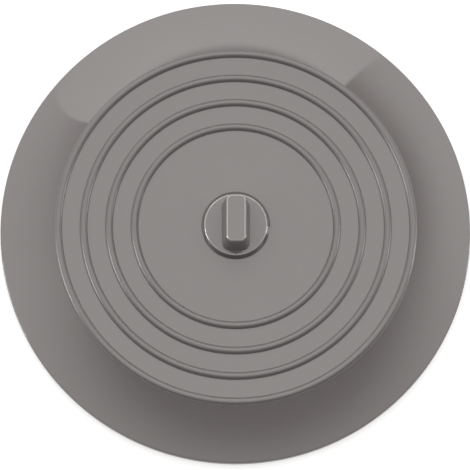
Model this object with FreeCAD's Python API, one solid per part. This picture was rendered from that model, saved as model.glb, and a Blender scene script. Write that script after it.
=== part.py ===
import FreeCAD, Part
import math
import os

# A universal drain stopper, in millimetres with +Z up. The origin is the middle of the circle that
# the brim seats on. A soft domed disc holds a moulded-in anchor plate and post, and a pull knob is
# snapped on the post.

# Disc, seen from above
DISC_DIAMETER = 150.0
BRIM_WIDTH = 17.4
BRIM_SAG = 0.55
RIM_HEIGHT = 2.9
RIM_ROUND = 0.6
RIM_FOOT_ROUND = 0.6
PLATEAU_HEIGHT = 9.0
RIB_COUNT = 4
RIB_PITCH = 8.05
RIB_WIDTH = 2.5
EDGE_RIB_WIDTH = 2.6
RIB_HEIGHT = 0.85

# Disc, underneath
PLATEAU_WALL = 3.6
BRIM_WALL = 2.8
SEAT_WIDTH = 4.5
SEAT_FLANK_ANGLE = 50.0

# Anchor plate and post
PLATE_DIAMETER = 30.0
PLATE_THICKNESS = 0.8
PLATE_HOLE_COUNT = 6
PLATE_HOLE_DIAMETER = 4.0
POST_DIAMETER = 4.0
POST_HEAD_DIAMETER = 9.0
POST_HEAD_HEIGHT = 0.8
POST_REACH = 6.0
POST_TIP_CHAMFER = 0.6
POST_GROOVE_DEPTH = 0.45

# Slip washer and snap ring
WASHER_SETBACK = 2.4
WASHER_THICKNESS = 0.3
RING_LIFT = 0.9
RING_WIDTH = 1.0
RING_THICKNESS = 0.6
RING_SPLIT_ANGLE = 40.0

# Pull knob
BUTTON_LEDGE = 1.48
BUTTON_HEIGHT = 1.4
BUTTON_DRAFT_ANGLE = 42.0
BUTTON_ROUND = 0.65
BAR_LENGTH = 15.3
BAR_WIDTH = 6.4
BAR_HEIGHT = 10.4
BAR_SIDE_DRAFT_ANGLE = 6.5
BAR_END_DRAFT_ANGLE = 4.0
BAR_CORNER = 2.0
BAR_ROUND = 0.7
SKIN_WALL = 0.6

# Clearances
MOULD_GAP = 0.05
RUN_GAP = 0.08
KNOB_GAP = 0.25
BORE_END_GAP = 0.4

# Levels, radii and slopes that follow from the sizes above
disc_radius = DISC_DIAMETER / 2
plateau_radius = disc_radius - BRIM_WIDTH
ceiling_level = PLATEAU_HEIGHT - PLATEAU_WALL
head_level = ceiling_level + (PLATEAU_WALL - POST_HEAD_HEIGHT - PLATE_THICKNESS) / 2
plate_level = head_level + POST_HEAD_HEIGHT
plate_top = plate_level + PLATE_THICKNESS
plate_hole_radius = PLATE_HOLE_DIAMETER / 2
post_radius = POST_DIAMETER / 2
post_top = PLATEAU_HEIGHT + POST_REACH
groove_radius = post_radius - POST_GROOVE_DEPTH
core_level = PLATEAU_HEIGHT + WASHER_THICKNESS
ring_level = core_level + RING_LIFT
ring_top = ring_level + RING_THICKNESS
ring_inner_radius = groove_radius + MOULD_GAP
ring_outer_radius = ring_inner_radius + RING_WIDTH
button_face = PLATEAU_HEIGHT + BUTTON_HEIGHT
bar_top = button_face + BAR_HEIGHT
bar_side_slope = math.tan(math.radians(BAR_SIDE_DRAFT_ANGLE))
bar_end_slope = math.tan(math.radians(BAR_END_DRAFT_ANGLE))
button_slope = math.tan(math.radians(BUTTON_DRAFT_ANGLE))
button_face_radius = BAR_LENGTH / 2 + BAR_HEIGHT * bar_end_slope + BUTTON_LEDGE


def point(radius, level):
    """A point of a profile that is turned about the Z axis."""
    return FreeCAD.Vector(radius, 0, level)


def line(start, end):
    return Part.LineSegment(start, end).toShape()


def arc(start, middle, end):
    return Part.Arc(start, middle, end).toShape()


def turned(edges, angle=360):
    """The solid that a closed profile makes as it turns about the Z axis."""
    face = Part.Face(Part.Wire(edges))
    return face.revolve(FreeCAD.Vector(0, 0, 0), FreeCAD.Vector(0, 0, 1), angle)


def cylinder(radius, low, high):
    return Part.makeCylinder(radius, high - low, FreeCAD.Vector(0, 0, low))


def level_edges(solid, level, radius=0):
    """The edges of a solid that lie flat at one level and reach at least one radius from the axis."""
    near = 1e-4
    found = []
    for edge in solid.Edges:
        box = edge.BoundBox
        flat = abs(box.ZMin - level) < near and abs(box.ZMax - level) < near
        if flat and box.XMax > radius - near:
            found.append(edge)
    return found


def disc_form():
    """The disc's outer form: flat base, rim, hollow-curved brim, and a plateau with half-round ribs."""
    edges = []
    here = point(0, PLATEAU_HEIGHT)
    for index in reversed(range(RIB_COUNT)):
        inner_foot = point(plateau_radius - EDGE_RIB_WIDTH - index * RIB_PITCH, PLATEAU_HEIGHT)
        outer_foot = inner_foot + point(RIB_WIDTH if index else EDGE_RIB_WIDTH, 0)
        crest = (inner_foot + outer_foot) / 2 + point(0, RIB_HEIGHT)
        edges.append(line(here, inner_foot))
        edges.append(arc(inner_foot, crest, outer_foot))
        here = outer_foot
    rim = point(disc_radius, RIM_HEIGHT)
    down_and_in = point(rim.z - here.z, here.x - rim.x).normalize()
    edges.append(arc(here, (here + rim) / 2 + down_and_in * BRIM_SAG, rim))
    edges.append(line(rim, point(disc_radius, 0)))
    edges.append(line(point(disc_radius, 0), point(0, 0)))
    edges.append(line(point(0, 0), point(0, PLATEAU_HEIGHT)))
    return turned(edges)


def plate_holes(radius):
    """One cylinder for each of the plate's holes, midway between the post's head and the plate's edge."""
    hole_circle_radius = (POST_HEAD_DIAMETER + PLATE_DIAMETER) / 4
    holes = []
    for index in range(PLATE_HOLE_COUNT):
        angle = 2 * math.pi * index / PLATE_HOLE_COUNT
        middle = FreeCAD.Vector(math.cos(angle), math.sin(angle), 0) * hole_circle_radius
        middle.z = plate_level - PLATE_THICKNESS
        holes.append(Part.makeCylinder(radius, 3 * PLATE_THICKNESS, middle))
    return holes


def insert_cavity():
    """The room that the plate and the post take up in the disc, less the keys in the plate's holes."""
    room = cylinder(PLATE_DIAMETER / 2 + MOULD_GAP, plate_level - MOULD_GAP, plate_top + MOULD_GAP)
    for key in plate_holes(plate_hole_radius - MOULD_GAP):
        room = room.cut(key)
    room = room.fuse(cylinder(POST_HEAD_DIAMETER / 2 + MOULD_GAP, head_level - MOULD_GAP, plate_level))
    return room.fuse(cylinder(post_radius + MOULD_GAP, plate_level, post_top)).removeSplitter()


def stopper_disc():
    """Soft moulding, hollow under the plateau, with a flat seat under the rim."""
    form = disc_form()
    lowered = form.copy()
    lowered.translate(FreeCAD.Vector(0, 0, -BRIM_WALL))
    rim_round = min(RIM_ROUND, RIM_HEIGHT - RIM_FOOT_ROUND)
    disc = form.makeFillet(rim_round, level_edges(form, RIM_HEIGHT, disc_radius))
    disc = disc.makeFillet(RIM_FOOT_ROUND, level_edges(disc, 0, disc_radius))
    mouth_radius = disc_radius - SEAT_WIDTH
    flank_run = ceiling_level / math.tan(math.radians(SEAT_FLANK_ANGLE))
    plug = Part.makeCone(mouth_radius, mouth_radius - flank_run, ceiling_level)
    return disc.cut(plug.common(lowered)).cut(insert_cavity())


def anchor_plate():
    """Round plate that spreads the pull, pierced so that the moulding keys through it."""
    plate = cylinder(PLATE_DIAMETER / 2, plate_level, plate_top)
    plate = plate.cut(cylinder(post_radius + MOULD_GAP, plate_level, plate_top))
    for hole in plate_holes(plate_hole_radius):
        plate = plate.cut(hole)
    return plate


def knob_post():
    """Headed pin with a groove for the snap ring and a lead-in at its tip."""
    head = cylinder(POST_HEAD_DIAMETER / 2, head_level, plate_level)
    shank = cylinder(post_radius, plate_level, post_top)
    shank = shank.makeChamfer(POST_TIP_CHAMFER, level_edges(shank, post_top))
    low = ring_level - RUN_GAP
    high = ring_top + RUN_GAP
    groove = cylinder(POST_DIAMETER, low, high).cut(cylinder(groove_radius, low, high))
    return head.fuse(shank).removeSplitter().cut(groove)


def slip_washer():
    washer = cylinder(button_radius(core_level) - SKIN_WALL - WASHER_SETBACK, PLATEAU_HEIGHT, core_level)
    return washer.cut(cylinder(post_radius + RUN_GAP, PLATEAU_HEIGHT, core_level))


def snap_ring():
    """Flat spring ring, split so that it can open over the tip of the post."""
    corners = [
        point(ring_inner_radius, ring_level),
        point(ring_outer_radius, ring_level),
        point(ring_outer_radius, ring_top),
        point(ring_inner_radius, ring_top),
    ]
    edges = [line(start, end) for start, end in zip(corners, corners[1:] + corners[:1])]
    return turned(edges, 360 - RING_SPLIT_ANGLE)


def rounded_rectangle(length, width, corner, level):
    """A level outline with round corners and its length along Y, centred on the Z axis."""
    x = width / 2 - corner
    y = length / 2 - corner
    core = Part.makePlane(2 * x, 2 * y, FreeCAD.Vector(-x, -y, level))
    return core.OuterWire.makeOffset2D(corner)


def pinch_bar(foot, inset):
    """The drafted bar from one level up to its top, drawn in all round by an inset."""
    top = bar_top - inset
    side_run = (top - foot) * bar_side_slope
    end_run = (top - foot) * bar_end_slope
    length = BAR_LENGTH - 2 * inset
    width = BAR_WIDTH - 2 * inset
    corner = max(BAR_CORNER - inset, RUN_GAP)
    foot_corner = corner + min(side_run, end_run)
    wide = rounded_rectangle(length + 2 * end_run, width + 2 * side_run, foot_corner, foot)
    narrow = rounded_rectangle(length, width, corner, top)
    return Part.makeLoft([wide, narrow], True, True)


def button_radius(level):
    """The radius of the button's drafted side at one level."""
    return button_face_radius + (button_face - level) * button_slope


def button_form(foot, inset):
    """The button from one level up to its face, drawn in all round by an inset."""
    face = button_face - inset
    wide = button_radius(foot) - inset
    narrow = button_radius(face) - inset
    return Part.makeCone(wide, narrow, face - foot, point(0, foot))


def core_form(inset):
    """The form of the knob's core, drawn in from the knob's outside by an inset."""
    return button_form(core_level, inset).fuse(pinch_bar(core_level, inset)).removeSplitter()


def knob_core():
    """The stiff inside of the knob, with the bore for the post and a groove for the snap ring."""
    core = core_form(SKIN_WALL + MOULD_GAP)
    core = core.cut(cylinder(post_radius + RUN_GAP, core_level, post_top + BORE_END_GAP))
    return core.cut(cylinder(ring_outer_radius + MOULD_GAP, ring_level - MOULD_GAP, ring_top + MOULD_GAP))


def knob_skin():
    """The soft outside of the knob: a round-edged button and a pinch bar, open underneath for the core."""
    foot = PLATEAU_HEIGHT + KNOB_GAP
    button_round = min(BUTTON_ROUND, BUTTON_HEIGHT - 2 * KNOB_GAP)
    bar_round = min(BAR_ROUND, BAR_CORNER - MOULD_GAP)
    button = button_form(foot, 0)
    button = button.makeFillet(button_round, level_edges(button, button_face))
    bar = pinch_bar(button_face - BUTTON_HEIGHT / 2, 0)
    bar = bar.makeFillet(bar_round, level_edges(bar, bar_top, -BAR_WIDTH))
    mouth = cylinder(button_radius(core_level) - SKIN_WALL, foot, core_level)
    return button.fuse(bar).removeSplitter().cut(core_form(SKIN_WALL)).cut(mouth)


PIECES = {
    "stopper_disc": stopper_disc,
    "anchor_plate": anchor_plate,
    "knob_post": knob_post,
    "slip_washer": slip_washer,
    "snap_ring": snap_ring,
    "knob_core": knob_core,
    "knob_skin": knob_skin,
}

os.makedirs("parts", exist_ok=True)
for name, make in PIECES.items():
    shape = make()
    print(name, "valid" if shape.isValid() else "not valid", len(shape.Solids), round(shape.Volume, 1))
    shape.exportStep("parts/" + name + ".step")
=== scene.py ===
import math

import bmesh
import bpy
from mathutils import Matrix, Vector
from mathutils.geometry import intersect_line_sphere_2d


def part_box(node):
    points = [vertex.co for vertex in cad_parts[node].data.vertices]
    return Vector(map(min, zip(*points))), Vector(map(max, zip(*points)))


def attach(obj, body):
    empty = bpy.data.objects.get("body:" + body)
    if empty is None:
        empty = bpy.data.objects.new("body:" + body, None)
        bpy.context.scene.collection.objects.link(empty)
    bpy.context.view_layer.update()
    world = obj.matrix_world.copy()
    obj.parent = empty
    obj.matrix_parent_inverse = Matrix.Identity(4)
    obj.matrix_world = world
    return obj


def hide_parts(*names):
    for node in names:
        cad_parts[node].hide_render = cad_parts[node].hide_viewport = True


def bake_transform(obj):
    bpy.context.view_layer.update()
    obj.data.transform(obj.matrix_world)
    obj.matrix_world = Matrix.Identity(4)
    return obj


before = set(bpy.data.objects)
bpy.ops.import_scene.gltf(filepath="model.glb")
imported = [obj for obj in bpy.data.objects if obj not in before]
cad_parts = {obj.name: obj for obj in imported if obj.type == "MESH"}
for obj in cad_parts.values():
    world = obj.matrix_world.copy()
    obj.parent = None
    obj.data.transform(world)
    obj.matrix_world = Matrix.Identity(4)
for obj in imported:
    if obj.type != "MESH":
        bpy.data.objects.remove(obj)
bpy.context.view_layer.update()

bl_info = {
    "name": "Drain Stopper",
    "version": (1, 0, 0),
    "blender": (4, 5, 0),
    "location": "3D View > Sidebar > Stopper",
    "description": "Moulds a ribbed silicone drain stopper with a turning pull knob round its fittings",
    "category": "Object",
}

DISC_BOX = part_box("stopper_disc")
PLATE_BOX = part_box("anchor_plate")
POST_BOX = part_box("knob_post")
WASHER_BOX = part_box("slip_washer")
CORE_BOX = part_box("knob_core")
SKIN_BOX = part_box("knob_skin")
PLATEAU_LEVEL = WASHER_BOX[0].z

# Mesh limits, steps of the round stretches and sides of the circles
MERGE_DISTANCE = 1e-7
CREASE = math.radians(28)
FLAT_FACE_WEIGHT = 75
BRIM_STEPS = 28
HOLLOW_STEPS = 14
RIB_STEPS = 16
RIM_STEPS = 12
FOOT_STEPS = 6
EASE_STEPS = 4
PLATE_SIDES = 96
HEAD_SIDES = 48
KEY_SIDES = 24
BUTTON_ROUND_STEPS = 6
BAR_FOOT_STEPS = 4
BAR_ROUND_STEPS = 8
BAR_CORNER_STEPS = 10

# Upward parts of the normal between which a look of the silicone fades
UNDERSIDE = (-0.35, 0.05)
# The rim's wall within these is painted paler, a painted light
LIT_RIM_WALL = (0.6, 0.93)
# The knob's rounded edges within these are painted paler, a painted highlight, and given a glossy coat
HIGHLIGHT_EDGE = (0.7, 0.82)
LEVEL_FACE = (0.985, 0.997)
STEEP_WALL = (0.2, 0.5)
HANGING_WALL = (-0.1, 0.02)
# The knob's foot below these is painted darker, a painted shade in its crease
SHADED_FOOT = (0.66, 0.78)

# Widths, low angles and noise levels over which a look of the silicone fades
RIB_FADE = 0.0002
RIM_FADE = 0.0002
GRIP_FADE = 0.0001
LOW_ANGLE = (0.25, 0.6)
FLECK_NOISE = (0.72, 0.8)

# Marks of the fittings' finishes
SCRATCH_SIZE = 0.00012
SCRATCH_DEPTH = 0.000004
SCRATCH_DRIFT = 0.1
STAIN_SIZE = 0.006
PLASTIC_DEPTH = 0.00001

# Directions between which the studio's lights fade
HORIZON = 0.02
CEILING_LEFT = (-2.65, -0.1)
CEILING_RIGHT = (0.62, 1.75)
CEILING_FRONT = (-0.8, 0.22)
CEILING_BACK = (0.4, 2.2)
CEILING_SKEW = 0.14
PANEL_TOP = (0.5, 0.8)
PANEL_FOOT = (1.9, 2.7)
PANEL_LEFT = 0.139
PANEL_LEFT_SLANT = 0.92
PANEL_BOW = 0.355
PANEL_BOW_MIDDLE = -0.95
PANEL_RIGHT = 0.038
PANEL_RIGHT_SLANT = 0.6
CARD_SIDE = (0.05, 0.4)
CARD_FRONT = (-0.9, -0.05)
CARD_TOP = (0.2, 0.45)

# The floor's paper in metres, and the camera's sensor in millimetres
FIBRE_SIZE = 0.004
SENSOR_WIDTH = 36


# Settings that a user would change


def length(name, description, default):
    return bpy.props.FloatProperty(
        name=name,
        description=description,
        default=default,
        min=0,
        precision=5,
        subtype="DISTANCE",
        unit="LENGTH",
    )


def angle(name, description, degrees):
    return bpy.props.FloatProperty(
        name=name, description=description, default=math.radians(degrees), subtype="ANGLE", unit="ROTATION"
    )


def share(name, description, default):
    return bpy.props.FloatProperty(
        name=name, description=description, default=default, min=0, max=1, precision=3, subtype="FACTOR"
    )


def level(name, description, default):
    return bpy.props.FloatProperty(name=name, description=description, default=default, min=0, precision=3)


def count(name, description, default):
    return bpy.props.IntProperty(name=name, description=description, default=default, min=1)


def colour(name, description, default):
    return bpy.props.FloatVectorProperty(
        name=name, description=description, default=default, min=0, max=1, size=3, subtype="COLOR"
    )


def group(kind, name, description):
    return bpy.props.PointerProperty(type=kind, name=name, description=description)


class DiscSizes(bpy.types.PropertyGroup):
    """The moulded disc, in metres."""

    diameter: length("Diameter", "Outside diameter of the disc", 2 * DISC_BOX[1].x)
    brim_width: length("Brim width", "From the edge of the raised top to the rim", 0.0174)
    brim_sag: length("Brim sag", "How far the brim's hollow curve falls below a straight slope", 0.00055)
    rim_height: length("Rim height", "Height of the rim before its edge is rounded", 0.0029)
    rim_round: length("Rim round", "Radius of the rim's upper edge", 0.0006)
    foot_round: length("Foot round", "Radius of the rim's lower edge", 0.0006)
    plateau_height: length("Top height", "Height of the flat top above the seat", PLATEAU_LEVEL)
    rib_count: count("Ribs", "Number of ribs on the top, with the one at its edge", 4)
    rib_pitch: length("Rib pitch", "Distance from one rib to the next", 0.00805)
    rib_width: length("Rib width", "Width of a rib at its foot", 0.0025)
    edge_rib_width: length("Edge rib width", "Width of the outermost rib at its foot", 0.0026)
    rib_height: length("Rib height", "Height of a rib's crest above the top", 0.00085)
    plateau_wall: length("Top wall", "Thickness of the moulding under the flat top", 0.0036)
    brim_wall: length("Brim wall", "Upright thickness of the moulding under the brim", 0.0028)
    seat_width: length("Seat width", "Width of the flat ring that the disc rests on", 0.0045)
    seat_flank: angle("Seat flank", "Steepness of the hollow's side above the seat", 50)
    edge_ease: length("Edge ease", "Rounding of the moulding's edges underneath", 0.0003)
    turns: count("Steps round", "Number of steps in a full turn of the profile", 288)


class InsertSizes(bpy.types.PropertyGroup):
    """The room for the anchor plate and the post inside the disc, in metres."""

    gap: length("Gap", "Gap between the moulding and the metal", 0.00005)
    post_radius: length("Post radius", "Radius of the post", 0.002)
    head_radius: length("Head radius", "Radius of the post's head", 0.0045)
    key_count: count("Keys", "Number of silicone keys through the plate", 6)
    key_radius: length("Key radius", "Radius of a key", 0.00195)


class KnobSizes(bpy.types.PropertyGroup):
    """The soft outside of the pull knob, in metres."""

    button_ledge: length("Ledge", "From the end of the bar's foot to the edge of the button's face", 0.00148)
    button_height: length("Button height", "Height of the button's face above the disc", 0.0014)
    button_draft: angle("Button draft", "Lean of the button's side", 42)
    button_round: length("Button round", "Radius of the edge of the button's face", 0.00065)
    bar_length: length("Bar length", "Length of the bar's top", 0.0153)
    bar_width: length("Bar width", "Width of the bar's top", 0.0064)
    bar_side_draft: angle("Bar side draft", "Lean of the bar's long sides", 6.5)
    bar_end_draft: angle("Bar end draft", "Lean of the bar's ends", 4)
    bar_corner: length("Bar corner", "Corner radius of the bar's top, seen from above", 0.002)
    bar_round: length("Bar round", "Radius of the edge of the bar's top", 0.0007)
    bar_foot_round: length("Bar foot round", "Radius of the hollow where the bar meets the button", 0.0002)
    wall: length("Wall", "Thickness of the soft skin over the core", 0.0006)
    # Past this share of the radius, the knob's edges get a painted highlight and its foot a painted shade
    painted_from: share("Worn from", "Share of the knob's radius beyond which its edge is worn", 0.84)
    sides: count("Steps round", "Number of sides of the button's circles", 128)


class SiliconeFinish(bpy.types.PropertyGroup):
    """The satin grey silicone of the disc and the knob."""

    tone: colour("Tone", "Colour of the silicone", (0.1785, 0.1648, 0.163))
    gloss: share("Roughness", "Roughness of the moulded face", 0.05)
    haze: share("Haze", "Roughness of the moulded face where it is seen at a low angle", 0.3)
    ribs: share("Rib roughness", "Roughness of the ribs, which are left matt", 0.25)
    # The ribs' darker tone is a painted shade on their crests
    rib_shade_tone: share("Rib tone", "Share of the tone that the matt ribs show", 0.86)
    # The knob's rounded edges are painted paler: a painted highlight
    highlight_tone: level("Edge tone", "Multiple of the tone that the knob's worn edges show", 1.5)
    # The knob's steep walls are painted paler: a painted light on their shaded sides
    wall_light_tone: level("Wall tone", "Multiple of the tone that the knob's handled walls show", 1.1)
    # The knob's foot is painted darker: a painted shade in its crease
    foot_shade_tone: share("Foot tone", "Share of the tone that the soiled foot of the knob shows", 0.66)
    # The rim's steep wall is painted paler: a painted light
    rim_light_tone: level("Rim tone", "Multiple of the tone that the rim's trimmed wall shows", 1.75)
    polish: level("Polish", "Refractive index of the knob's polished edges", 2.4)
    walls: share("Wall roughness", "Roughness of the knob's steep walls", 0.35)
    under: share("Underside roughness", "Roughness of the blasted underside", 0.42)
    reflectance: share("Reflectance", "Specular level of the silicone", 1.0)
    mottle: length("Mottle", "Size of the faint mottling", 0.022)
    mottling: share("Mottling", "How far the mottling takes the tone up and down", 0.045)
    flow: length("Flow marks", "Size of the marks of the silicone's flow", 0.0035)
    flecks: share("Flecks", "How strongly the flecks show", 0.35)
    fleck_tone: level("Fleck tone", "Multiple of the tone that the flecks show", 1.25)
    grain: length("Grain", "Size of the moulded grain", 0.0005)
    grain_depth: length("Grain depth", "Depth of the moulded grain", 0.0000012)


class FittingFinish(bpy.types.PropertyGroup):
    """The hidden fittings."""

    plate: colour("Plate", "Colour of the anchor plate's steel", (0.60, 0.60, 0.60))
    post: colour("Post", "Colour of the post's steel", (0.62, 0.62, 0.62))
    spring: colour("Ring", "Colour of the snap ring's spring steel", (0.50, 0.50, 0.52))
    core: colour("Core", "Colour of the knob core's plastic", (0.09, 0.09, 0.095))
    washer: colour("Washer", "Colour of the slip washer's plastic", (0.80, 0.80, 0.78))


class StageSizes(bpy.types.PropertyGroup):
    """The floor, the lights and the camera."""

    distance: length("Camera distance", "From the camera to the middle of the disc's top", 0.853)
    tilt: angle("Camera tilt", "Lean of the view from straight down", 12.03)
    lean: angle("Camera lean", "Lean of the view to the left", 0.7)
    lens: bpy.props.FloatProperty(
        name="Lens", description="Focal length in millimetres", default=206.2, subtype="DISTANCE_CAMERA"
    )
    aim_drop: length("Aim drop", "How far in front of the disc's middle the camera aims", 0.0031)
    aim_left: length("Aim left", "How far to the left of the disc's middle the camera aims", 0.00025)
    reach: length("Lamp reach", "From the disc to the low lamps at its sides", 1.2)
    warmth: colour("Warmth", "Colour of the light", (1.0, 0.985, 0.97))
    ceiling: level("Ceiling light", "Radiance of the ceiling", 1.5)
    standing: level("Standing light", "Radiance of the panel that stands behind", 1.66)
    cards: level("Side cards", "Radiance of the low cards at both sides", 1.4)
    left: level("Left lamp", "Radiance of the low lamp on the left", 11.0)
    right: level("Right lamp", "Radiance of the low lamp on the right", 10.0)
    ambient: level("Ambient", "Radiance of the room", 0.1)
    floor: share("Floor", "Reflectance of the floor", 0.6)
    floor_glow: share("Floor glow", "Light that the floor adds of its own where it is seen", 0.62)
    floor_reach: length("Floor reach", "From the middle of the floor to its edges", 6)
    floor_drop: length("Floor drop", "How far the floor lies below the seat", 0.0002)


class StopperSettings(bpy.types.PropertyGroup):
    """All the settings of the stopper."""

    disc: group(DiscSizes, "Disc", "Sizes of the disc")
    insert: group(InsertSizes, "Insert", "Room for the fittings")
    knob: group(KnobSizes, "Knob", "Sizes of the knob")
    silicone: group(SiliconeFinish, "Silicone", "Finish of the silicone")
    fittings: group(FittingFinish, "Fittings", "Finishes of the fittings")
    stage: group(StageSizes, "Stage", "Floor, lights and camera")


# Shader maths


class Wire:
    """An output of a shader node. Arithmetic on it adds Math nodes to its tree."""

    def __init__(self, tree, socket=None):
        self.tree = tree
        self.socket = socket

    def node(self, kind, inputs=None, output=0, **settings):
        """Adds a node to the tree: its settings first, then the values or links of its sockets."""
        made = self.tree.nodes.new(kind)
        for name, value in settings.items():
            setattr(made, name, value)
        for name, value in (inputs or {}).items():
            if isinstance(value, Wire):
                self.tree.links.new(value.socket, made.inputs[name])
            else:
                made.inputs[name].default_value = value
        return Wire(self.tree, made.outputs[output] if made.outputs else None)

    def math(self, operation, *values):
        return self.node("ShaderNodeMath", dict(enumerate(values)), operation=operation)

    def __add__(self, other):
        return self.math("ADD", self, other)

    __radd__ = __add__

    def __sub__(self, other):
        return self.math("SUBTRACT", self, other)

    def __rsub__(self, other):
        return self.math("SUBTRACT", other, self)

    def __mul__(self, other):
        return self.math("MULTIPLY", self, other)

    __rmul__ = __mul__

    def __truediv__(self, other):
        return self.math("DIVIDE", self, other)

    def __pow__(self, other):
        return self.math("POWER", self, other)

    def rise(self, low, high):
        """0 below low, 1 above high, and smooth between."""
        return self.node(
            "ShaderNodeMapRange",
            {"Value": self, "From Min": low, "From Max": high},
            interpolation_type="SMOOTHSTEP",
        )

    def edge(self, place, soft=0.006):
        """0 below a place and 1 above it, with a narrow fade."""
        return self.rise(place - soft, place + soft)

    def part(self, axis):
        """One part of a vector: 0 for X, 1 for Y and 2 for Z."""
        return self.node("ShaderNodeSeparateXYZ", {0: self}, output=axis)

    def noise(self, size, detail=2.0):
        """Noise whose features are about one size across, from 0 to 1."""
        return self.node("ShaderNodeTexNoise", {"Vector": self, "Scale": 1 / size, "Detail": detail})

    def blend(self, first, second):
        """Mixes two colours by this factor."""
        return self.node("ShaderNodeMix", {0: self, 6: first, 7: second}, output=2, data_type="RGBA")

    def bump(self, depth, strength=1.0):
        """The normal of a surface that has this relief."""
        return self.node("ShaderNodeBump", {"Strength": strength, "Distance": depth, "Height": self})


def new_material(name):
    """A material with an empty node tree, and that tree."""
    material = bpy.data.materials.new(name)
    material.use_nodes = True
    material.node_tree.nodes.clear()
    return material, Wire(material.node_tree)


def place_coordinates(tree):
    return tree.node("ShaderNodeTexCoord", output="Object")


def from_axis(place):
    """How far a place is from the Z axis."""
    across = place.part(0)
    along = place.part(1)
    return (across * across + along * along) ** 0.5


def surface(tree, sockets):
    """Ends a tree in one Principled shader, with the values or links of its sockets by name."""
    shader = tree.node("ShaderNodeBsdfPrincipled", sockets)
    tree.node("ShaderNodeOutputMaterial", {"Surface": shader})


def tone_of(rgb, factor=1.0):
    """A colour made darker or paler by a factor, as a colour socket takes it."""
    return (*(min(1.0, channel * factor) for channel in rgb), 1)


def silicone_material(name, finish, disc=None, grip=None):
    """Satin moulded silicone: faint mottling, a fine grain, and a blasted underside.

    A disc is matt and painted darker above the level of its ribs' feet, a painted shade, and painted paler
    on the steep wall beyond its rim's radius, a painted light. On a grip, the steep walls are matt and
    painted paler, a painted light; the rounded edges beyond the grip's radius or above its height are
    painted paler, a painted highlight, under a glossy coat; and the foot below them is painted darker, a
    painted shade.
    """
    material, tree = new_material(name)
    place = place_coordinates(tree)
    facing = tree.node("ShaderNodeNewGeometry", output="Normal").part(2)
    under = 1 - facing.rise(*UNDERSIDE)
    mottle = place.noise(finish.mottle, 3.0)
    flow = place.noise(finish.flow)
    grain = place.noise(finish.grain)
    fleck = place.noise(finish.grain * 2.5, 1.0).rise(*FLECK_NOISE)
    shade = 0.55 * mottle + 0.3 * flow + 0.15 * grain
    base = shade.blend(tone_of(finish.tone, 1 - finish.mottling), tone_of(finish.tone, 1 + finish.mottling))
    base = (fleck * finish.flecks).blend(base, tone_of(finish.tone, finish.fleck_tone))
    rough = finish.gloss + 0.02 * (flow - 0.5) + 0.02 * (grain - 0.5) + fleck * 0.05
    askance = tree.node("ShaderNodeLayerWeight", {"Blend": 0.5}, output="Facing").rise(*LOW_ANGLE)
    rough = rough + askance * (finish.haze - finish.gloss) + under * (finish.under - finish.gloss)
    relief = grain + under * (place.noise(finish.grain * 1.6, 3.0) * 5)
    sockets = {"Specular IOR Level": finish.reflectance}
    spread = from_axis(place)
    if disc:
        rib_level, rim_radius = disc
        ribs = place.part(2).rise(rib_level, rib_level + RIB_FADE)
        # Painted shade: the ribs are painted darker
        base = ribs.blend(base, tone_of(finish.tone, finish.rib_shade_tone))
        rough = rough + ribs * (finish.ribs - finish.gloss)
        # Painted light: the rim's steep wall is painted paler
        light_painted = spread.edge(rim_radius, RIM_FADE) * (1 - facing.rise(*LIT_RIM_WALL))
        base = light_painted.blend(base, tone_of(finish.tone, finish.rim_light_tone))
    if grip:
        radius, height = grip
        beyond = spread.edge(radius, GRIP_FADE)
        outer_or_top = beyond + place.part(2).edge(height, GRIP_FADE)
        # Painted highlight: the knob's rounded edges are painted paler; their coat gives them real gloss
        painted_pale_and_coated = outer_or_top * facing.rise(*HIGHLIGHT_EDGE) * (1 - facing.rise(*LEVEL_FACE))
        base = painted_pale_and_coated.blend(base, tone_of(finish.tone, finish.highlight_tone))
        walls = (1 - facing.rise(*STEEP_WALL)) * facing.rise(*HANGING_WALL)
        # Painted light: the knob's steep walls are painted paler
        base = walls.blend(base, tone_of(finish.tone, finish.wall_light_tone))
        shade_painted = beyond * (1 - facing.rise(*SHADED_FOOT))
        # Painted shade: the knob's foot below its edges is painted darker
        base = shade_painted.blend(base, tone_of(finish.tone, finish.foot_shade_tone))
        rough = rough + walls * (finish.walls - finish.gloss)
        sockets.update({"Coat Weight": painted_pale_and_coated, "Coat IOR": finish.polish, "Coat Roughness": finish.gloss})
    normal = relief.bump(finish.grain_depth)
    surface(tree, {**sockets, "Base Color": base, "Roughness": rough, "Normal": normal})
    return material


def steel_material(name, tone, fineness):
    """Stained, turned steel: its scratches run round the axis, and a larger fineness sets them closer."""
    material, tree = new_material(name)
    place = place_coordinates(tree)
    turned = {
        0: from_axis(place) * fineness,
        1: place.part(2) * fineness,
        2: place.part(0) * SCRATCH_DRIFT,
    }
    scratch = tree.node("ShaderNodeCombineXYZ", turned).noise(SCRATCH_SIZE, 3.0)
    stain = place.noise(STAIN_SIZE, 3.0)
    base = (0.5 * scratch + 0.5 * stain).blend(tone_of(tone, 0.82), tone_of(tone, 1.12))
    rough = 0.26 + 0.16 * scratch + 0.08 * stain
    normal = scratch.bump(SCRATCH_DEPTH, strength=0.5)
    surface(tree, {"Metallic": 1.0, "Base Color": base, "Roughness": rough, "Normal": normal})
    return material


def plastic_material(name, tone, matt, grain_size):
    """Moulded plastic, more or less matt, with a fine grain and broader swirls."""
    material, tree = new_material(name)
    place = place_coordinates(tree)
    grain = place.noise(grain_size)
    swirl = place.noise(grain_size * 16, 3.0)
    base = (0.4 * grain + 0.6 * swirl).blend(tone_of(tone, 0.86), tone_of(tone, 1.14))
    rough = matt + 0.12 * (grain - 0.5) + 0.1 * (swirl - 0.5)
    normal = grain.bump(PLASTIC_DEPTH, strength=0.6)
    surface(tree, {"Base Color": base, "Roughness": rough, "Normal": normal})
    return material


# Mesh helpers


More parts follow.
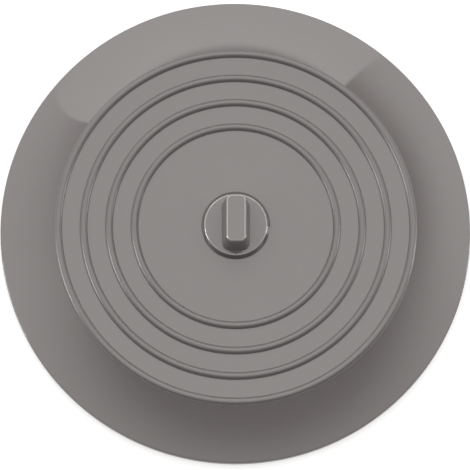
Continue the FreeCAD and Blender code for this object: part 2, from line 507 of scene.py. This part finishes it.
class Outline:
    """A profile drawn point by point in the XZ plane, to be spun about the Z axis."""

    def __init__(self, bm, radius, height):
        self.bm = bm
        self.tip = bm.verts.new((radius, 0, height))

    def line(self, radius, height):
        grown = bmesh.ops.extrude_vert_indiv(self.bm, verts=[self.tip])
        self.tip = grown["verts"][0]
        self.tip.co = (radius, 0, height)

    def arc(self, radius, height, centre, steps):
        """Swings the tip about a centre to a point, the short way round."""
        start = math.atan2(self.tip.co.z - centre[1], self.tip.co.x - centre[0])
        end = math.atan2(height - centre[1], radius - centre[0])
        swing = (start - end + math.pi) % (2 * math.pi) - math.pi
        swung = bmesh.ops.spin(
            self.bm,
            geom=[self.tip],
            cent=(centre[0], 0, centre[1]),
            axis=(0, 1, 0),
            angle=swing,
            steps=steps,
        )
        self.tip = next(part for part in swung["geom_last"] if isinstance(part, bmesh.types.BMVert))


def spin_round(bm, steps):
    """Spins all that a bmesh holds once round the Z axis."""
    bmesh.ops.spin(
        bm,
        geom=bm.verts[:] + bm.edges[:],
        cent=(0, 0, 0),
        axis=(0, 0, 1),
        angle=2 * math.pi,
        steps=steps,
        use_merge=True,
    )
    bmesh.ops.remove_doubles(bm, verts=bm.verts[:], dist=MERGE_DISTANCE)


def ring_at(bm, radius, height):
    """The edges of a spun mesh that run round at one radius and height."""
    near = 1e-5

    def on_ring(vert):
        return abs(vert.co.xy.length - radius) < near and abs(vert.co.z - height) < near

    return [edge for edge in bm.edges if on_ring(edge.verts[0]) and on_ring(edge.verts[1])]


def new_ring(bm, radius, height, sides, place=(0, 0)):
    made = bmesh.ops.create_circle(
        bm, radius=radius, segments=sides, matrix=Matrix.Translation((place[0], place[1], height))
    )
    return list({edge for vert in made["verts"] for edge in vert.link_edges})


def carry_ring(bm, ring, height):
    """Extrudes a level ring of edges to another height, and returns the ring there."""
    grown = bmesh.ops.extrude_edge_only(bm, edges=ring)["geom"]
    verts = {part for part in grown if isinstance(part, bmesh.types.BMVert)}
    for vert in verts:
        vert.co.z = height
    edges = [part for part in grown if isinstance(part, bmesh.types.BMEdge)]
    return [edge for edge in edges if edge.verts[0] in verts and edge.verts[1] in verts]


def open_edges(bm, height):
    """The edges at one height that have a face on one side only."""
    near = 1e-6
    edges = [edge for edge in bm.edges if edge.is_boundary]
    return [edge for edge in edges if all(abs(vert.co.z - height) < near for vert in edge.verts)]


def fill_level(bm, edges):
    """Fills the level area between an outer ring of edges and the rings inside it."""
    bmesh.ops.triangle_fill(bm, edges=edges, use_beauty=True, normal=(0, 0, 1))


def turn_steps(radius, start, end, steps):
    """The moves, inwards and upwards, of a round that turns from one slope to another.

    A round without a radius has none.
    """
    if not radius:
        return []
    slopes = [start + (end - start) * index / steps for index in range(steps + 1)]
    moves = []
    for before, after in zip(slopes, slopes[1:]):
        inwards = radius * abs(math.sin(after) - math.sin(before))
        moves.append((inwards, radius * abs(math.cos(after) - math.cos(before))))
    return moves


def climb(bm, face, moves):
    """Insets and lifts one level face by each move in turn, and leaves walls below it."""
    face.normal_update()
    if face.normal.z < 0:
        face.normal_flip()
    for inwards, upwards in moves:
        bmesh.ops.inset_individual(
            bm, faces=[face], thickness=inwards, depth=upwards, use_even_offset=True
        )


def new_object(name, data):
    """An object that shows a mesh, a light or a camera in the scene."""
    made = bpy.data.objects.new(name, data)
    bpy.context.scene.collection.objects.link(made)
    return made


def mesh_object(name, bm, material):
    """An object of one material from a bmesh, which is freed."""
    mesh = bpy.data.meshes.new(name)
    bm.to_mesh(mesh)
    bm.free()
    mesh.materials.append(material)
    return new_object(name, mesh)


def finished_piece(name, bm, material):
    """A closed piece with smooth shading, broken at edges sharper than the crease angle."""
    bmesh.ops.remove_doubles(bm, verts=bm.verts[:], dist=MERGE_DISTANCE)
    bmesh.ops.recalc_face_normals(bm, faces=bm.faces[:])
    gaps = sum(1 for edge in bm.edges if not edge.is_manifold)
    if gaps:
        raise RuntimeError(f"{name} has {gaps} open or doubled edges")
    for face in bm.faces:
        face.smooth = True
    piece = mesh_object(name, bm, material)
    piece.data.set_sharp_from_angle(angle=CREASE)
    normals = piece.modifiers.new("flat_faces", "WEIGHTED_NORMAL")
    normals.keep_sharp = True
    normals.weight = FLAT_FACE_WEIGHT
    return piece


# Pieces


def arc_centre(start, end, sag):
    """The centre and radius of a circle through two points, whose arc sags under their chord."""
    chord = Vector(end) - Vector(start)
    half = chord.length / 2
    radius = (half * half + sag * sag) / (2 * sag)
    under = Vector((chord.y, -chord.x)).normalized()
    middle = (Vector(start) + Vector(end)) / 2
    return middle - under * (radius - sag), radius


def on_circle_at(centre, radius, height):
    """The radius at which the lower left of a circle stands at one height."""
    rise = height - centre.y
    return centre.x - math.sqrt(radius * radius - rise * rise)


def draw_disc(bm, disc, insert):
    """Draws the disc's profile, from the middle of the hollow round the rim and over the ribs to the post.

    Returns the radius and height of each edge underneath that is to be eased.
    """
    rim_radius = disc.diameter / 2
    edge_radius = rim_radius - disc.brim_width
    top = disc.plateau_height
    edge = Vector((edge_radius, top))
    rim = Vector((rim_radius, disc.rim_height))
    centre, bow = arc_centre(edge, rim, disc.brim_sag)

    ceiling = top - disc.plateau_wall
    lowered = centre - Vector((0, disc.brim_wall))
    mouth = rim_radius - disc.seat_width
    flank_top = Vector((mouth - ceiling / math.tan(disc.seat_flank), ceiling))
    meets = intersect_line_sphere_2d(Vector((mouth, 0)), flank_top, lowered, bow, True)
    meet = next(point for point in meets if point)

    outline = Outline(bm, 0, ceiling)
    outline.line(edge_radius / 2, ceiling)
    outline.line(on_circle_at(lowered, bow, ceiling), ceiling)
    outline.arc(meet.x, meet.y, lowered, HOLLOW_STEPS)
    outline.line(mouth, 0)
    foot = disc.foot_round
    outline.line(rim_radius - foot, 0)
    outline.arc(rim_radius, foot, (rim_radius - foot, foot), FOOT_STEPS)

    round_radius = disc.rim_round
    run = rim_radius - round_radius - centre.x
    fall = math.sqrt((bow + round_radius) ** 2 - run * run)
    round_centre = Vector((rim_radius - round_radius, centre.y - fall))
    touch = centre + (round_centre - centre).normalized() * bow
    outline.line(rim_radius, round_centre.y)
    outline.arc(touch.x, touch.y, round_centre, RIM_STEPS)
    outline.arc(edge.x, edge.y, centre, BRIM_STEPS)

    for index in range(disc.rib_count):
        inner = edge_radius - disc.edge_rib_width - index * disc.rib_pitch
        width = disc.rib_width if index else disc.edge_rib_width
        if index:
            outline.line(inner + width, top)
        half = width / 2
        bend = (half * half + disc.rib_height ** 2) / (2 * disc.rib_height)
        outline.arc(inner, top, (inner + half, top + disc.rib_height - bend), RIB_STEPS)
    outline.line(insert.post_radius + insert.gap, top)
    outline.line(insert.post_radius + insert.gap, PLATE_BOX[1].z + insert.gap)
    return [(mouth, 0), tuple(meet)]


def mould_insert_room(bm, insert):
    """The room for the plate and the post's head, with the keys that fill the plate's holes."""
    roof = PLATE_BOX[1].z + insert.gap
    floor = PLATE_BOX[0].z - insert.gap
    plate_radius = PLATE_BOX[1].x + insert.gap
    post_ring = ring_at(bm, insert.post_radius + insert.gap, roof)
    roof_rings = [post_ring, new_ring(bm, plate_radius, roof, PLATE_SIDES)]
    key_circle = (insert.head_radius + PLATE_BOX[1].x) / 2
    for index in range(insert.key_count):
        turn = 2 * math.pi * index / insert.key_count
        place = (key_circle * math.cos(turn), key_circle * math.sin(turn))
        roof_rings.append(new_ring(bm, insert.key_radius, roof, KEY_SIDES, place))
    floor_rings = [carry_ring(bm, ring, floor) for ring in roof_rings[1:]]
    head_ring = new_ring(bm, insert.head_radius + insert.gap, floor, HEAD_SIDES)
    head_floor = carry_ring(bm, head_ring, POST_BOX[0].z - insert.gap)
    fill_level(bm, sum(roof_rings, []))
    fill_level(bm, sum(floor_rings, head_ring))
    fill_level(bm, head_floor)


def rounded_bar_face(bm, length, width, corner, height):
    """A level face with round corners and its length along Y, centred on the Z axis."""
    others = set(bm.faces)
    grid = bmesh.ops.create_grid(bm, x_segments=1, y_segments=1, size=0.5)
    bmesh.ops.scale(bm, verts=grid["verts"], vec=(width, length, 1))
    bmesh.ops.translate(bm, verts=grid["verts"], vec=(0, 0, height))
    bmesh.ops.bevel(
        bm,
        geom=grid["verts"],
        offset=corner,
        segments=BAR_CORNER_STEPS,
        profile=0.5,
        affect="VERTICES",
        material=-1,
    )
    return next(face for face in bm.faces if face not in others)


def knob_shell(bm, knob, foot, inset, button_round=0, bar_round=0, foot_round=0):
    """One side of the soft skin, drawn in by an inset: button and bar, open at the foot."""
    nominal_face = PLATEAU_LEVEL + knob.button_height
    face_level = nominal_face - inset
    bar_top = SKIN_BOX[1].z - inset
    bar_rise = SKIN_BOX[1].z - nominal_face
    bar_lean = math.tan(knob.bar_end_draft)
    button_lean = math.tan(knob.button_draft)
    face_radius = knob.bar_length / 2 + bar_rise * bar_lean + knob.button_ledge

    foot_radius = face_radius + (nominal_face - foot) * button_lean - inset
    made = bmesh.ops.create_circle(
        bm, radius=foot_radius, segments=knob.sides, cap_ends=True, matrix=Matrix.Translation((0, 0, foot))
    )
    button_face = made["verts"][0].link_faces[0]
    side_slope = math.pi / 2 - knob.button_draft
    turn = turn_steps(button_round, side_slope, 0, BUTTON_ROUND_STEPS)
    side = face_level - foot - sum(upwards for inwards, upwards in turn)
    climb(bm, button_face, [(side * button_lean, side)] + turn)

    bar_slope = math.pi / 2 - knob.bar_end_draft
    hollow = turn_steps(foot_round, 0, bar_slope, BAR_FOOT_STEPS)
    crown = turn_steps(bar_round, bar_slope, 0, BAR_ROUND_STEPS)
    wall = bar_top - face_level - sum(upwards for inwards, upwards in hollow + crown)
    spread = (bar_top - face_level) * bar_lean + foot_round * math.tan(bar_slope / 2)
    button_verts = set(bm.verts)
    bar_face = rounded_bar_face(
        bm,
        knob.bar_length - 2 * inset + 2 * spread,
        knob.bar_width - 2 * inset + 2 * spread,
        max(knob.bar_corner - inset, 0) + spread,
        face_level,
    )
    climb(bm, bar_face, hollow + [(wall * bar_lean, wall)] + crown)
    splay = math.tan(knob.bar_side_draft) - bar_lean
    for vert in set(bm.verts) - button_verts:
        vert.co.x += math.copysign((bar_top - vert.co.z) * splay, vert.co.x)
    bmesh.ops.delete(bm, geom=[button_face], context="FACES_ONLY")
    fill_level(bm, open_edges(bm, face_level))


class STOPPER_OT_mould_disc(bpy.types.Operator):
    """Mould the ribbed disc with its hollow, its seat and the room for the fittings"""

    bl_idname = "stopper.mould_disc"
    bl_label = "Mould Disc"

    def execute(self, context):
        settings = context.scene.drain_stopper
        bm = bmesh.new()
        edges = draw_disc(bm, settings.disc, settings.insert)
        spin_round(bm, settings.disc.turns)
        for radius, height in edges:
            bmesh.ops.bevel(
                bm,
                geom=ring_at(bm, radius, height),
                offset=settings.disc.edge_ease,
                segments=EASE_STEPS,
                profile=0.5,
                affect="EDGES",
                material=-1,
            )
        mould_insert_room(bm, settings.insert)
        rim = settings.disc.diameter / 2 - settings.disc.rim_round
        material = silicone_material("disc_silicone", settings.silicone, disc=(PLATEAU_LEVEL, rim))
        piece = finished_piece("disc_moulding", bm, material)
        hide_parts("stopper_disc")
        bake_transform(piece)
        return {"FINISHED"}


class STOPPER_OT_mould_knob(bpy.types.Operator):
    """Mould the soft skin of the pull knob over its core"""

    bl_idname = "stopper.mould_knob"
    bl_label = "Mould Knob"

    def execute(self, context):
        settings = context.scene.drain_stopper
        knob = settings.knob
        foot = SKIN_BOX[0].z
        bm = bmesh.new()
        knob_shell(bm, knob, foot, 0, knob.button_round, knob.bar_round, knob.bar_foot_round)
        knob_shell(bm, knob, CORE_BOX[0].z, knob.wall)
        carry_ring(bm, open_edges(bm, CORE_BOX[0].z), foot)
        fill_level(bm, open_edges(bm, foot))
        # The grip's radius and height bound the knob's painted highlight; its radius also bounds the painted
        # shade at the foot
        grip = (SKIN_BOX[1].x * knob.painted_from, SKIN_BOX[1].z - 2 * knob.bar_round)
        material = silicone_material("knob_silicone", settings.silicone, grip=grip)
        piece = finished_piece("knob_grip", bm, material)
        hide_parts("knob_skin")
        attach(piece, "knob")
        return {"FINISHED"}


class STOPPER_OT_finish_fittings(bpy.types.Operator):
    """Give the hidden plate, post, ring, core and washer their steel and plastic finishes"""

    bl_idname = "stopper.finish_fittings"
    bl_label = "Finish Fittings"

    def execute(self, context):
        finish = context.scene.drain_stopper.fittings
        materials = {
            "anchor_plate": steel_material("plate_steel", finish.plate, fineness=1.0),
            "knob_post": steel_material("post_steel", finish.post, fineness=1.6),
            "snap_ring": steel_material("ring_steel", finish.spring, fineness=2.2),
            "knob_core": plastic_material("core_plastic", finish.core, matt=0.5, grain_size=0.0003),
            "slip_washer": plastic_material("washer_plastic", finish.washer, matt=0.28, grain_size=0.0005),
        }
        for node, material in materials.items():
            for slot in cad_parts[node].material_slots:
                slot.material = material
        return {"FINISHED"}


# Stage


def add_lamp(name, stage, azimuth, elevation, width, height, radiance):
    """A low rectangular lamp that shows in gloss only, and not to the camera.

    Its direction, and its width and height as the disc sees them, are given in degrees.
    """
    around = math.radians(azimuth)
    up = math.radians(elevation)
    way = Vector((math.cos(around) * math.cos(up), math.sin(around) * math.cos(up), math.sin(up)))
    size, size_y = (2 * stage.reach * math.tan(math.radians(seen) / 2) for seen in (width, height))
    lamp = bpy.data.lights.new(name, "AREA")
    lamp.shape = "RECTANGLE"
    lamp.size = size
    lamp.size_y = size_y
    lamp.energy = radiance * math.pi * size * size_y
    light = new_object(name, lamp)
    light.location = way * stage.reach
    light.rotation_euler = (-way).to_track_quat("-Z", "Y").to_euler()
    light.visible_camera = False
    light.visible_diffuse = False


def set_camera(stage):
    """A camera that looks down at the disc from the front, with the Y axis up in its picture."""
    middle = Vector((0, 0, PLATEAU_LEVEL))
    upright = math.cos(stage.lean)
    back = Vector((-math.sin(stage.lean), -math.sin(stage.tilt) * upright, math.cos(stage.tilt) * upright))
    place = middle + back * stage.distance
    aim = middle - Vector((stage.aim_left, stage.aim_drop, 0))
    ahead = (aim - place).normalized()
    right = ahead.cross(Vector((0, 1, 0))).normalized()
    turn = Matrix((right, right.cross(ahead), -ahead)).transposed()
    camera = new_object("camera", bpy.data.cameras.new("camera"))
    camera.data.lens = stage.lens
    camera.data.sensor_width = SENSOR_WIDTH
    camera.matrix_world = Matrix.LocRotScale(place, turn.to_quaternion(), None)
    bpy.context.scene.camera = camera


def seen_directly(tree):
    """1 for rays that show the surface itself to the camera, to gloss or through glass."""
    rays = ("Is Camera Ray", "Is Glossy Ray", "Is Transmission Ray")
    camera, gloss, glass = (tree.node("ShaderNodeLightPath", output=ray) for ray in rays)
    seen = camera + gloss + glass
    return seen.math("MINIMUM", seen, 1.0)


def floor_material(stage):
    """Pale paper that shows white and keeps the shadow, and lets a view from below through."""
    material, tree = new_material("floor_paper")
    place = place_coordinates(tree)
    fibre = place.noise(FIBRE_SIZE, 3.0)
    tone = stage.floor
    colour_of_paper = fibre.blend((tone, tone, tone, 1), (tone, tone, tone * 0.99, 1))
    paper = tree.node("ShaderNodeBsdfDiffuse", {"Color": colour_of_paper})
    strength = seen_directly(tree) * stage.floor_glow
    glow = tree.node("ShaderNodeEmission", {"Color": (1, 1, 1, 1), "Strength": strength})
    lit = tree.node("ShaderNodeAddShader", {0: paper, 1: glow})
    clear = tree.node("ShaderNodeBsdfTransparent")
    below = tree.node("ShaderNodeNewGeometry", output="Backfacing")
    mixed = tree.node("ShaderNodeMixShader", {0: below, 1: lit, 2: clear})
    tree.node("ShaderNodeOutputMaterial", {"Surface": mixed})
    return material


def studio_light(tree, stage):
    """Radiance by direction: a ceiling that fades on every side, a panel behind, and low cards beside.

    The ceiling and the panel are drawn as if on a level sheet above the disc, by how far aside or behind
    a direction leads for each unit of height. The panel's left edge is slanted and bowed.
    """
    way = tree.node("ShaderNodeTexCoord", output="Generated")
    across = way.part(0)
    along = way.part(1)
    height = way.part(2)
    height = height.math("MAXIMUM", height, HORIZON)
    aside = across / height
    behind = along / height
    sides = aside.rise(*CEILING_LEFT) * (1 - aside.rise(*CEILING_RIGHT))
    ends = (behind - CEILING_SKEW * aside).rise(*CEILING_FRONT) * (1 - behind.rise(*CEILING_BACK))
    bow = aside - PANEL_BOW_MIDDLE
    left_side = (behind + PANEL_LEFT_SLANT * aside - PANEL_BOW * bow * bow).edge(PANEL_LEFT)
    right_side = (PANEL_RIGHT_SLANT * behind - aside).edge(PANEL_RIGHT)
    panel = left_side * right_side * behind.rise(*PANEL_TOP) * (1 - behind.rise(*PANEL_FOOT))
    ceiling = sides * ends * stage.ceiling
    cards = (across * across).rise(*CARD_SIDE) * along.rise(*CARD_FRONT) * (1 - height.rise(*CARD_TOP))
    return ceiling + panel * (stage.standing - ceiling) + cards * stage.cards + stage.ambient


def set_world(stage):
    """The studio's light, with a background that the camera sees as white."""
    world = bpy.data.worlds.new("studio")
    world.use_nodes = True
    world.node_tree.nodes.clear()
    tree = Wire(world.node_tree)
    lit = tree.node(
        "ShaderNodeBackground", {"Color": tone_of(stage.warmth), "Strength": studio_light(tree, stage)}
    )
    white = tree.node("ShaderNodeBackground", {"Color": (1, 1, 1, 1), "Strength": 1.0})
    camera = tree.node("ShaderNodeLightPath", output="Is Camera Ray")
    room = tree.node("ShaderNodeMixShader", {0: camera, 1: lit, 2: white})
    tree.node("ShaderNodeOutputWorld", {"Surface": room})
    bpy.context.scene.world = world


class STOPPER_OT_set_stage(bpy.types.Operator):
    """Lay the pale floor, and set the lights and the camera"""

    bl_idname = "stopper.set_stage"
    bl_label = "Set Stage"

    def execute(self, context):
        stage = context.scene.drain_stopper.stage
        bm = bmesh.new()
        bmesh.ops.create_grid(bm, x_segments=4, y_segments=4, size=stage.floor_reach)
        bmesh.ops.translate(bm, verts=bm.verts[:], vec=(0, 0, -stage.floor_drop))
        floor = mesh_object("floor", bm, floor_material(stage))
        add_lamp("left_lamp", stage, azimuth=187, elevation=26, width=20, height=10, radiance=stage.left)
        add_lamp("right_lamp", stage, azimuth=2, elevation=16, width=12, height=9, radiance=stage.right)
        set_world(stage)
        set_camera(stage)
        context.scene.view_settings.view_transform = "Standard"
        return {"FINISHED"}


class STOPPER_PT_sidebar(bpy.types.Panel):
    """Lists the steps that make the stopper, and its settings"""

    bl_idname = "STOPPER_PT_sidebar"
    bl_label = "Drain Stopper"
    bl_space_type = "VIEW_3D"
    bl_region_type = "UI"
    bl_category = "Stopper"

    def draw(self, context):
        for operator in OPERATORS:
            self.layout.operator(operator.bl_idname)
        settings = context.scene.drain_stopper
        for section in StopperSettings.__annotations__:
            box = self.layout.box()
            box.label(text=section.capitalize())
            values = getattr(settings, section)
            for name in type(values).__annotations__:
                box.prop(values, name)


OPERATORS = (STOPPER_OT_mould_disc, STOPPER_OT_mould_knob, STOPPER_OT_finish_fittings, STOPPER_OT_set_stage)
GROUPS = (DiscSizes, InsertSizes, KnobSizes, SiliconeFinish, FittingFinish, StageSizes, StopperSettings)


def register():
    for cls in GROUPS + OPERATORS + (STOPPER_PT_sidebar,):
        bpy.utils.register_class(cls)
    bpy.types.Scene.drain_stopper = bpy.props.PointerProperty(type=StopperSettings)


def unregister():
    del bpy.types.Scene.drain_stopper
    for cls in reversed(GROUPS + OPERATORS + (STOPPER_PT_sidebar,)):
        bpy.utils.unregister_class(cls)


def main():
    register()
    bpy.ops.stopper.mould_disc()
    bpy.ops.stopper.mould_knob()
    bpy.ops.stopper.finish_fittings()
    bpy.ops.stopper.set_stage()


if __name__ == "__main__":
    main()
